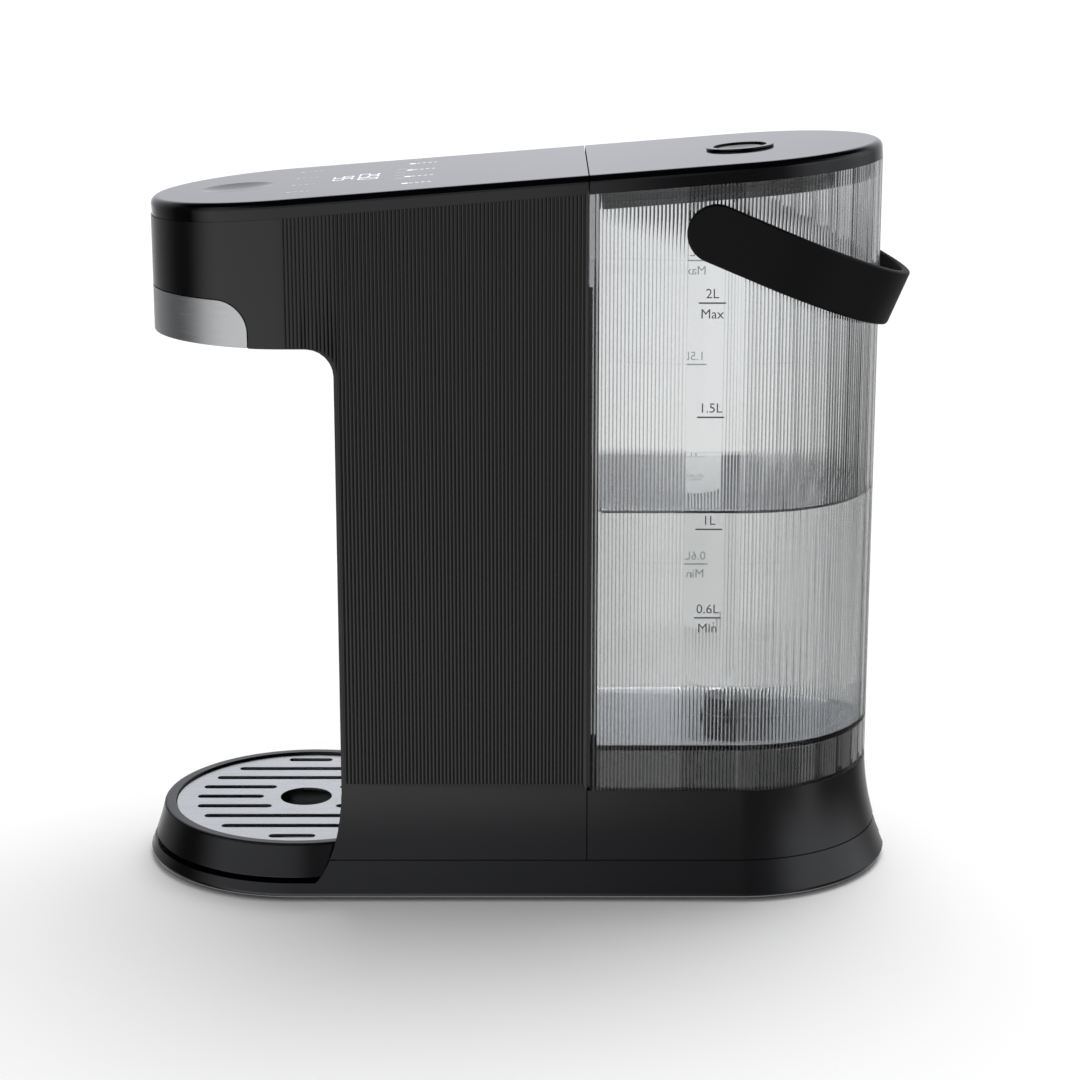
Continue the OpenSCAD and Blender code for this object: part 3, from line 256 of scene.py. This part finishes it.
PANEL_SLOPE = math.radians(4.5)
POLISHED_BLACK = polished("Black ABS, polished", "#040406")
MATT_BLACK = moulded("Black ABS, matt, unpolished", ("#040404", "#080808"), 0.9, 0.6, 0.02, 1.1)
SEAM_REACH = 0.001
UPRIGHT = 0.99
panel_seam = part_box("top_panel")[1]


def polish(*names):
    """Polishes covers all over except the upright faces that meet at their seam, which stay matt."""
    coat(POLISHED_BLACK, *names)
    for name in names:
        node[name].data.materials.append(MATT_BLACK)
        for face in node[name].data.polygons:
            upright = abs(face.normal.y) > UPRIGHT
            face.material_index = int(upright and abs(face.center.y - panel_seam[1]) < SEAM_REACH)


polish("top_panel")


# Display and touch marks: lit figures and symbols under the panel's skin, which show as pale prints.
# Two rows of plain figures, four preset keys and unit dashes behind them, four setting keys in front.
def bars(name, items, thick_mm, skin):
    """Flat bars with pointed ends, each (x, y, length, width, turned) in mm, as one thin mesh."""
    form = bmesh.new()
    for x, y, length, width, turned_by in items:
        half, point = length / 2, min(width, length) / 2
        outline = [(-half, 0), (-half + point, -width / 2), (half - point, -width / 2), (half, 0),
                   (half - point, width / 2), (-half + point, width / 2)]
        spin = Matrix.Translation((x, y, 0)) @ Matrix.Rotation(math.radians(turned_by), 4, "Z")
        low = [form.verts.new(spin @ Vector((px, py, 0)) / 1000) for px, py in outline]
        top = [form.verts.new(spin @ Vector((px, py, thick_mm)) / 1000) for px, py in outline]
        form.faces.new(low[::-1])
        form.faces.new(top)
        for i in range(6):
            form.faces.new((low[i], low[(i + 1) % 6], top[(i + 1) % 6], top[i]))
    mesh = bpy.data.meshes.new(name)
    form.to_mesh(mesh)
    form.free()
    mesh.materials.append(skin)
    return mesh


def printed(name, tone, glow):
    """Screen-printed ink, a little uneven in its cover, with a glow: lit from behind on the panel, and a
    painted glow where nothing lights it.
    """
    patch_mm = 0.8
    made, tree, place = blank(name)
    cover = add(tree, "ShaderNodeTexNoise", {"Vector": place}, {"Scale": 1000 / patch_mm, "Detail": 2})
    shade = add(tree, "ShaderNodeMapRange", {"Value": cover.outputs["Fac"]}, {"To Min": 0.85, "To Max": 1})
    colour = add(tree, "ShaderNodeMix", {7: shade.outputs[0]}, {0: 1.0, 6: linear(tone)},
                 data_type="RGBA", blend_type="MULTIPLY")
    # The glow is emission: real backlight under the panel, painted glow on the tank's undercoat and the lid
    # button's bar
    skin = add(tree, "ShaderNodeBsdfPrincipled", {"Base Color": colour.outputs[2]},
               {"Roughness": 0.45, "Emission Color": linear(tone), "Emission Strength": glow})
    add(tree, "ShaderNodeOutputMaterial", {"Surface": skin.outputs[0]})
    return made


def on_body(name, mesh, body, place=Matrix()):
    """A finished piece: its place goes into its mesh, and it moves with a body."""
    mesh.transform(place)
    piece = bpy.data.objects.new(name, mesh)
    scene.collection.objects.link(piece)
    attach(piece, body)
    return piece


PANEL_INK = printed("Panel print, pale, lit from behind", "#eeeef6", 0.6)
PANEL = Matrix.Translation((0, panel_seam[1], panel_seam[2])) @ Matrix.Rotation(PANEL_SLOPE, 4, "X")
INK_MM = 0.03
ASIDE_MM = -1

# Seven segments of a figure 4.6 mm wide and 8 mm high: their places, and which ones each figure lights
SEGMENTS = {"a": (0, 8, 0), "b": (2.3, 6, 90), "c": (2.3, 2, 90), "d": (0, 0, 0), "e": (-2.3, 2, 90),
            "f": (-2.3, 6, 90), "g": (0, 4, 0)}
LIT = {"0": "abcdef", "2": "abged", "5": "afgcd", "9": "abcdfg"}
SEGMENT_MM = (4.1, 0.9)
FIGURE_PITCH_MM = 7
FIGURE_SQUEEZE = 0.95
figures = []
for text, row_mm in (("95", -103.0), ("250", -92.6)):
    for i, figure in enumerate(text):
        for segment in LIT[figure]:
            x, y, turn = SEGMENTS[segment]
            column_mm = FIGURE_PITCH_MM * (i - (len(text) - 1) / 2) + ASIDE_MM
            figures.append((x + column_mm, y * FIGURE_SQUEEZE + row_mm, *SEGMENT_MM, turn))
marks = bars("display_figures", figures, INK_MM, PANEL_INK)
on_body("display_figures", marks, "machine", PANEL)

# Key symbols repeat across the panel, so one tree sets out a disc and a column of dashes for each
keys = bpy.data.node_groups.new("Touch key symbols", "GeometryNodeTree")
for name, kind in (("Keys", "Int"), ("Key pitch", "Float"), ("Disc radius", "Float"), ("Dashes", "Int"),
                   ("Dash pitch", "Float"), ("Dash length", "Float"), ("Dash width", "Float"),
                   ("Thickness", "Float"), ("Ink", "Material")):
    keys.interface.new_socket(name, in_out="INPUT", socket_type="NodeSocket" + kind)
keys.interface.new_socket("Geometry", in_out="OUTPUT", socket_type="NodeSocketGeometry")
given = add(keys, "NodeGroupInput").outputs
disc = add(keys, "GeometryNodeMeshCylinder", {"Radius": given["Disc radius"], "Depth": given["Thickness"]},
           {"Vertices": 24})
start = add(keys, "ShaderNodeCombineXYZ", {"Y": given["Dash pitch"]})
dash_line = add(keys, "GeometryNodeMeshLine", {"Count": given["Dashes"], "Offset": start.outputs[0],
                "Start Location": start.outputs[0]}, count_mode="TOTAL", mode="OFFSET")
dash_size = add(keys, "ShaderNodeCombineXYZ", {"X": given["Dash width"], "Y": given["Dash length"],
                "Z": given["Thickness"]})
dash = add(keys, "GeometryNodeMeshCube", {"Size": dash_size.outputs[0]})
dashes = add(keys, "GeometryNodeInstanceOnPoints",
             {"Points": dash_line.outputs[0], "Instance": dash.outputs[0]})
symbol = add(keys, "GeometryNodeJoinGeometry")
keys.links.new(disc.outputs[0], symbol.inputs[0])
keys.links.new(dashes.outputs[0], symbol.inputs[0])
across = add(keys, "ShaderNodeCombineXYZ", {"X": given["Key pitch"]})
key_line = add(keys, "GeometryNodeMeshLine", {"Count": given["Keys"], "Offset": across.outputs[0]},
               count_mode="TOTAL", mode="OFFSET")
row = add(keys, "GeometryNodeInstanceOnPoints",
          {"Points": key_line.outputs[0], "Instance": symbol.outputs[0]})
real = add(keys, "GeometryNodeRealizeInstances", {0: row.outputs[0]})
inked = add(keys, "GeometryNodeSetMaterial", {"Geometry": real.outputs[0], "Material": given["Ink"]})
add(keys, "NodeGroupOutput", {0: inked.outputs[0]})


def grown(name, tree, inputs):
    """Runs a tree with its named inputs and gives the result as a plain mesh."""
    holder = bpy.data.objects.new(name, bpy.data.meshes.new(name + "_seed"))
    scene.collection.objects.link(holder)
    run = holder.modifiers.new(name, "NODES")
    run.node_group = tree
    for item in tree.interface.items_tree:
        if item.in_out == "INPUT":
            run[item.identifier] = inputs[item.name]
    ready = holder.evaluated_get(bpy.context.evaluated_depsgraph_get())
    mesh = bpy.data.meshes.new_from_object(ready)
    bpy.data.objects.remove(holder)
    return mesh


# Faint print for the unit dashes and setting keys, dimly lit from behind; the lid button's bar takes it too,
# where its glow is painted
FAINT_INK = printed("Panel print, pale grey, dimly lit", "#d4d4dc", 0.2)
UNIT_ROW_MM = -76
UNIT_MM = (5, 0.9)
units = [(x + ASIDE_MM, UNIT_ROW_MM, *UNIT_MM, 90) for x in (-16.5, -5.5, 5.5, 16.5)]
on_body("unit_dashes", bars("unit_dashes", units, INK_MM, FAINT_INK), "machine", PANEL)
KEYS = 4
KEY_PITCH_MM = 23
KEY_DASH_MM = (1.1, 1.4)
first_key_mm = ASIDE_MM - KEY_PITCH_MM * (KEYS - 1) / 2
for name, skin, row_mm, disc_mm, dash_count, dash_pitch in (
        ("preset_keys", PANEL_INK, -72.4, 1.5, 4, 2.4), ("setting_keys", FAINT_INK, -118.6, 0.9, 3, 2.6)):
    marks = grown(name, keys, {
        "Keys": KEYS, "Key pitch": KEY_PITCH_MM / 1000, "Disc radius": disc_mm / 1000, "Dashes": dash_count,
        "Dash pitch": dash_pitch / 1000, "Dash length": KEY_DASH_MM[1] / 1000,
        "Dash width": KEY_DASH_MM[0] / 1000, "Thickness": INK_MM / 1000, "Ink": skin})
    on_body(name, marks, "machine",
            PANEL @ Matrix.Translation((first_key_mm / 1000, row_mm / 1000, INK_MM / 2000)))


# Tank: injection-moulded clear copolyester, reeded outside like the column, with a smooth strip on
# each side to read the level by. It lifts off the dock by its handle.
def clear(name, tone, ior, rough, smoke, shine=0.5):
    """A clear body that bends light and dims it with depth. Lamps shine straight through it."""
    haze_mm = 25
    made, tree, place = blank(name)
    haze = add(tree, "ShaderNodeTexNoise", {"Vector": place}, {"Scale": 1000 / haze_mm, "Detail": 3})
    gloss = add(tree, "ShaderNodeMapRange", {"Value": haze.outputs["Fac"]}, {"To Min": 0, "To Max": rough})
    body = add(tree, "ShaderNodeBsdfPrincipled", {"Roughness": gloss.outputs[0]},
               {"Base Color": linear(tone), "IOR": ior, "Transmission Weight": 1.0,
                "Specular IOR Level": shine})
    path = add(tree, "ShaderNodeLightPath")
    through = add(tree, "ShaderNodeBsdfTransparent", (), {"Color": linear(tone)})
    mix = add(tree, "ShaderNodeMixShader",
              {0: path.outputs["Is Shadow Ray"], 1: body.outputs[0], 2: through.outputs[0]})
    depth = add(tree, "ShaderNodeVolumeAbsorption", (), {"Color": linear("#000000"), "Density": smoke})
    add(tree, "ShaderNodeOutputMaterial", {"Surface": mix.outputs[0], "Volume": depth.outputs[0]})
    return made


CLEAR_TANK = clear("Copolyester, clear, moulded", "#f8f9f9", 1.54, 0.03, 9, 0.35)
finished("water_tank", CLEAR_TANK, sharp=50, blend=True)
coat(STEEL, "handle_pins")

# Volume marks, printed in grey on both reading strips: plain figures in litres over short lines. The ink lies
# on a pale undercoat, which is what shows of the far marks through the tank; the undercoat has a painted glow
# in place of the light that reaches it inside the tank
MARK_INK = printed("Volume scale ink, grey", "#55585b", 0)
UNDERCOAT_PAINTED_GLOW = printed("Volume scale ink, pale undercoat, painted glow", "#dfe1e2", 0.35)
MARK_MM = ((246.4, "2L", "Max"), (200.9, "1.5L", ""), (155.3, "1L", ""), (118.6, "0.6L", "Min"))
LINE_MM = (11, 0.62)
LETTER_MM = 5.4
ABOVE_MM = 1.9
BELOW_MM = -2.3 - 0.7 * LETTER_MM
STRIP_AHEAD = 0.0011
strip_y = joint["handle_swing"]["pos_m"][1] - STRIP_AHEAD
half_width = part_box("tank_lid")[1][0]
scale_form = bmesh.new()
for height_mm, above, below in MARK_MM:
    scale_form.from_mesh(bars("line", [(0, height_mm, *LINE_MM, 0)], INK_MM, MARK_INK))
    for text, rise_mm in ((above, ABOVE_MM), (below, BELOW_MM)):
        words = bpy.data.curves.new("words", "FONT")
        words.body = text
        words.size = LETTER_MM / 1000
        words.align_x = "CENTER"
        words.extrude = INK_MM / 2000
        words.resolution_u = 3
        holder = bpy.data.objects.new("words", words)
        scene.collection.objects.link(holder)
        bpy.context.view_layer.update()
        mesh = bpy.data.meshes.new_from_object(holder.evaluated_get(bpy.context.evaluated_depsgraph_get()))
        mesh.transform(Matrix.Translation((0, (height_mm + rise_mm) / 1000, INK_MM / 2000)))
        scale_form.from_mesh(mesh)
        bpy.data.objects.remove(holder)
scale_form.normal_update()
for face in scale_form.faces:
    # Faces turned into the tank take the undercoat, with its painted glow
    face.material_index = int(face.normal.z < -0.5)
for side, name in ((1, "volume_marks_right"), (-1, "volume_marks_left")):
    mesh = bpy.data.meshes.new(name)
    scale_form.to_mesh(mesh)
    mesh.materials.append(MARK_INK)
    mesh.materials.append(UNDERCOAT_PAINTED_GLOW)
    face = Matrix.Translation((side * (half_width + INK_MM / 2000), strip_y, 0))
    turn = Matrix.Rotation(side * math.pi / 2, 4, "Z") @ Matrix.Rotation(math.pi / 2, 4, "X")
    on_body(name, mesh, "tank", face @ turn)
scale_form.free()


# Outlet valve and strainer in the tank's floor: moulded dark acetal, with a rubber washer and a small
# stainless spring. The push pin in the dock holds the valve open.
DARK_ACETAL = moulded("Acetal, dark grey, moulded", ("#1d1e20", "#27282b"), 0.4, 0.7, 0.02, 1.48)
coat(DARK_ACETAL, "valve_body", "valve_poppet", "inlet_strainer")
coat(RUBBER, "valve_seal")
coat(STEEL, "valve_spring")


# Water: about one litre, which fills the tank's inside to a level and climbs a little at the wall.
# It carries no CAD solid, so it moves with the tank. It reaches a hair into the wall to shut out air.
WATER = clear("Drinking water", "#fafbfb", 1.333, 0, 2.2)
WET_WALL = clear("Drinking water, fine bubbles at the wall", "#fafbfb", 1.333, 0.12, 2.2)
WATER_MM = 161
WALL_MM = 2.85
HOOK_MM = 1.4
TANK_FLOOR_MM = 63.85
CLIMB_MM = ((0, 1.6), (0.35, 0.85), (0.9, 0.35), (1.8, 0.08), (3, 0))
ARC_STEPS = 64
FLAT_MM = 1
tank_low, tank_high = [[v * 1000 for v in corner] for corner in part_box("water_tank")]
inner_mm = half_width * 1000 - WALL_MM
rear_mm = tank_high[1] - half_width * 1000
front_mm = tank_low[1] + HOOK_MM + WALL_MM


def tank_ring(inset):
    """The tank's inner plan, set in: a half round at the back and two square corners in front."""
    r = inner_mm - inset
    turns = [math.pi * i / ARC_STEPS for i in range(ARC_STEPS + 1)]
    arc = [(r * math.cos(turn), rear_mm + r * math.sin(turn)) for turn in turns]
    sides = [(-r, rear_mm - FLAT_MM), (-r, front_mm + inset), (r, front_mm + inset), (r, rear_mm - FLAT_MM)]
    return arc + sides


form = bmesh.new()
rings = [(0, TANK_FLOOR_MM)] + [(inset, WATER_MM + rise) for inset, rise in CLIMB_MM]
loops = [[form.verts.new((x / 1000, y / 1000, z / 1000)) for x, y in tank_ring(inset)] for inset, z in rings]
for lower, upper in zip(loops, loops[1:]):
    for i in range(len(lower)):
        j = (i + 1) % len(lower)
        form.faces.new((lower[i], lower[j], upper[j], upper[i]))
form.faces.new(loops[0][::-1])
form.faces.new(loops[-1])
form.normal_update()
for face in form.faces:
    face.smooth = True
    face.material_index = int(abs(face.normal.z) < 0.1)
for edge in form.edges:
    edge.smooth = edge.calc_face_angle() < math.radians(40)
water_mesh = bpy.data.meshes.new("water")
form.to_mesh(water_mesh)
form.free()
water_mesh.materials.append(WATER)
water_mesh.materials.append(WET_WALL)
on_body("water", water_mesh, "tank")


# Lid: a polished black cover like the top panel, with a plug and gasket that sit in the tank's mouth,
# a raised ring and a sprung push button with a pale pointer bar.
finished("lid_ring", POLISHED_BLACK, sharp=26, edge_mm=0.4)
polish("tank_lid")
coat(POLISHED_BLACK, "lid_button")
coat(RUBBER, "lid_gasket")

# The bar lies in the button's dished top, so it takes its height from there. It takes the faint panel print,
# whose glow here is painted, as nothing lights the lid
BAR_MM = (0.9, 11)
BAR_STEPS = 12
low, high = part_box("lid_button")
form = bmesh.new()
stations = []
for i in range(BAR_STEPS + 1):
    y = (low[1] + high[1]) / 2 + (i / BAR_STEPS - 0.5) * BAR_MM[1] / 1000
    top = node["lid_button"].ray_cast((0, y, 1), (0, 0, -1))[1].z
    stations.append([form.verts.new((side * BAR_MM[0] / 2000, y, top + lift * INK_MM / 1000))
                     for side, lift in ((-1, 1), (1, 1), (1, -1), (-1, -1))])
for first, second in zip(stations, stations[1:]):
    for j in range(4):
        form.faces.new((first[j], first[j - 1], second[j - 1], second[j]))
form.faces.new(stations[0])
form.faces.new(stations[-1][::-1])
bmesh.ops.recalc_face_normals(form, faces=form.faces)
mesh = bpy.data.meshes.new("button_bar")
form.to_mesh(mesh)
form.free()
mesh.materials.append(FAINT_INK)
on_body("button_bar", mesh, node["lid_button"]["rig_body"])

# The button's spring is a coil of stainless wire, which shortens by the button's travel in use; here it only
# gets a mesh of its own
spring = finished("lid_button_spring", STEEL, sharp=70)
low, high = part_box("lid_button_spring")
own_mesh(spring)


# Handle: a bail moulded in black nylon with a soft matt skin, with two round eyes on steel pins and a
# broad flat bow. At rest it hangs against the back of the tank.
SOFT_BLACK = moulded("Black nylon, soft matt", ("#030304", "#060607"), 0.55, 0.6, 0.01, 1.36)
finished("tank_handle", SOFT_BLACK, sharp=30, edge_mm=0.9)


# Drip tray and grille: a round ABS cup with a flared skirt that stands on the base's deck, and a
# punched stainless plate, brushed along its slots, which lies loose on the cup's ledge.
BRUSHED_STEEL = turned("Stainless steel, brushed", "#e9eaeb", 0.28, 0.45, (1, 0.04, 1))
finished("drip_tray", BLACK_ABS, sharp=26, edge_mm=0.5)
finished("drip_grille", BRUSHED_STEEL, sharp=30, edge_mm=0.15)


# Studio: a white floor without an edge, one broad soft light from above, and surroundings that only
# shiny and clear things show: white walls and floor, with dark stretches overhead and at the ends.
FLOOR_M = 30
floor_mesh = bpy.data.meshes.new("floor")
floor_mesh.from_pydata([(-FLOOR_M, -FLOOR_M, 0), (FLOOR_M, -FLOOR_M, 0), (FLOOR_M, FLOOR_M, 0),
                        (-FLOOR_M, FLOOR_M, 0)], [], [(0, 1, 2, 3)])
floor_paint, tree, _ = blank("Studio floor, white, matt")
matt = add(tree, "ShaderNodeBsdfDiffuse", (), {"Color": linear("#f6f6f6")})
add(tree, "ShaderNodeOutputMaterial", {"Surface": matt.outputs[0]})
floor_mesh.materials.append(floor_paint)
floor = bpy.data.objects.new("floor", floor_mesh)
floor.visible_glossy = False
floor.visible_transmission = False
scene.collection.objects.link(floor)

# Brightness of the surroundings by the angle in degrees from the camera's side: of the walls from the
# horizon up to a dark ceiling, and of the floor. Clear things show a white wall straight behind them
WALLS = ((-180, 1.0), (-150, 0.6), (-120, 0.25), (-105, 0.04), (-86, 0.03), (-62, 0.7), (-15, 0.6), (1, 0.5),
         (3, 0.1), (30, 0.2), (50, 1.0), (105, 1.0), (130, 0.4), (160, 0.8), (180, 1.0))
GROUND = ((-180, 1.0), (-164, 1.0), (-140, 0.3), (-105, 0.03), (-86, 0.02), (-66, 1.0), (1, 1.0), (2.8, 0.1),
          (50, 0.2), (66, 0.7), (80, 0.1), (130, 0.1), (158, 0.6), (168, 1.0), (180, 1.0))
HORIZON = {"From Min": -0.22, "From Max": 0.02}
CEILING = {"From Min": 0.37, "From Max": 0.63, "To Min": 1.0, "To Max": 0.015}
BACKDROP = {"From Min": -0.78, "From Max": -0.92}
EVEN_LIGHT = 0.5
world = bpy.data.worlds.new("Studio surroundings")
world.use_nodes = True
scene.world = world
tree = world.node_tree
tree.nodes.clear()
way = add(tree, "ShaderNodeSeparateXYZ", {0: add(tree, "ShaderNodeTexCoord").outputs["Generated"]}).outputs
angle = add(tree, "ShaderNodeMath", {0: way["Y"], 1: way["X"]}, operation="ARCTAN2")
share = add(tree, "ShaderNodeMapRange", {"Value": angle.outputs[0]},
            {"From Min": -math.pi, "From Max": math.pi})
rings = []
for levels in (GROUND, WALLS):
    ring = add(tree, "ShaderNodeValToRGB", {0: share.outputs[0]})
    stops = ring.color_ramp.elements
    while len(stops) < len(levels):
        stops.new(0.5)
    for stop, (degrees, bright) in zip(stops, levels):
        stop.position = (degrees + 180) / 360
        stop.color = (bright, bright, bright, 1)
    rings.append(ring)
rise = add(tree, "ShaderNodeMapRange", {"Value": way["Z"]}, HORIZON)
round_about = add(tree, "ShaderNodeMix", {0: rise.outputs[0], 6: rings[0].outputs[0], 7: rings[1].outputs[0]},
                  data_type="RGBA")
fade = add(tree, "ShaderNodeMapRange", {"Value": way["Z"]}, CEILING, interpolation_type="SMOOTHSTEP")
shown = add(tree, "ShaderNodeMath", {0: round_about.outputs[2], 1: fade.outputs[0]}, operation="MULTIPLY")
path = add(tree, "ShaderNodeLightPath").outputs
behind = add(tree, "ShaderNodeMapRange", {"Value": way["X"]}, BACKDROP)
through = add(tree, "ShaderNodeMath", {0: behind.outputs[0], 1: path["Is Transmission Ray"]},
              operation="MULTIPLY")
clear_view = add(tree, "ShaderNodeMath", {0: shown.outputs[0], 1: through.outputs[0]}, operation="MAXIMUM")
even = add(tree, "ShaderNodeMix", {0: path["Is Diffuse Ray"], 2: clear_view.outputs[0]}, {3: EVEN_LIGHT},
           data_type="FLOAT")
seen = add(tree, "ShaderNodeMath", {0: even.outputs[0], 1: path["Is Camera Ray"]}, operation="MAXIMUM")
cool = add(tree, "ShaderNodeMath", {0: rise.outputs[0], 1: path["Is Glossy Ray"]}, operation="MULTIPLY")
tint = add(tree, "ShaderNodeMix", {0: cool.outputs[0]}, {6: linear("#ffffff"), 7: linear("#f6f8ff")},
           data_type="RGBA")
sky = add(tree, "ShaderNodeBackground", {"Color": tint.outputs[2], "Strength": seen.outputs[0]})
add(tree, "ShaderNodeOutputWorld", {"Surface": sky.outputs[0]})

LIGHT_WAY = (0.45, -0.2, -1)
lamp = bpy.data.lights.new("overhead softbox", "SUN")
lamp.energy = 2.3
lamp.angle = math.radians(52)
light = bpy.data.objects.new("overhead softbox", lamp)
light.rotation_euler = Vector(LIGHT_WAY).to_track_quat("-Z", "Y").to_euler()
light.visible_glossy = False
scene.collection.objects.link(light)

CAMERA_DOWN = 14.392
lens = bpy.data.cameras.new("camera")
lens.lens = 89.07
lens.sensor_width = 36
camera = bpy.data.objects.new("camera", lens)
camera.location = (1.0909, 0.008, 0.4161)
camera.rotation_euler = (math.radians(90 - CAMERA_DOWN), 0, math.radians(90))
scene.collection.objects.link(camera)
scene.camera = camera
scene.view_settings.view_transform = "Standard"
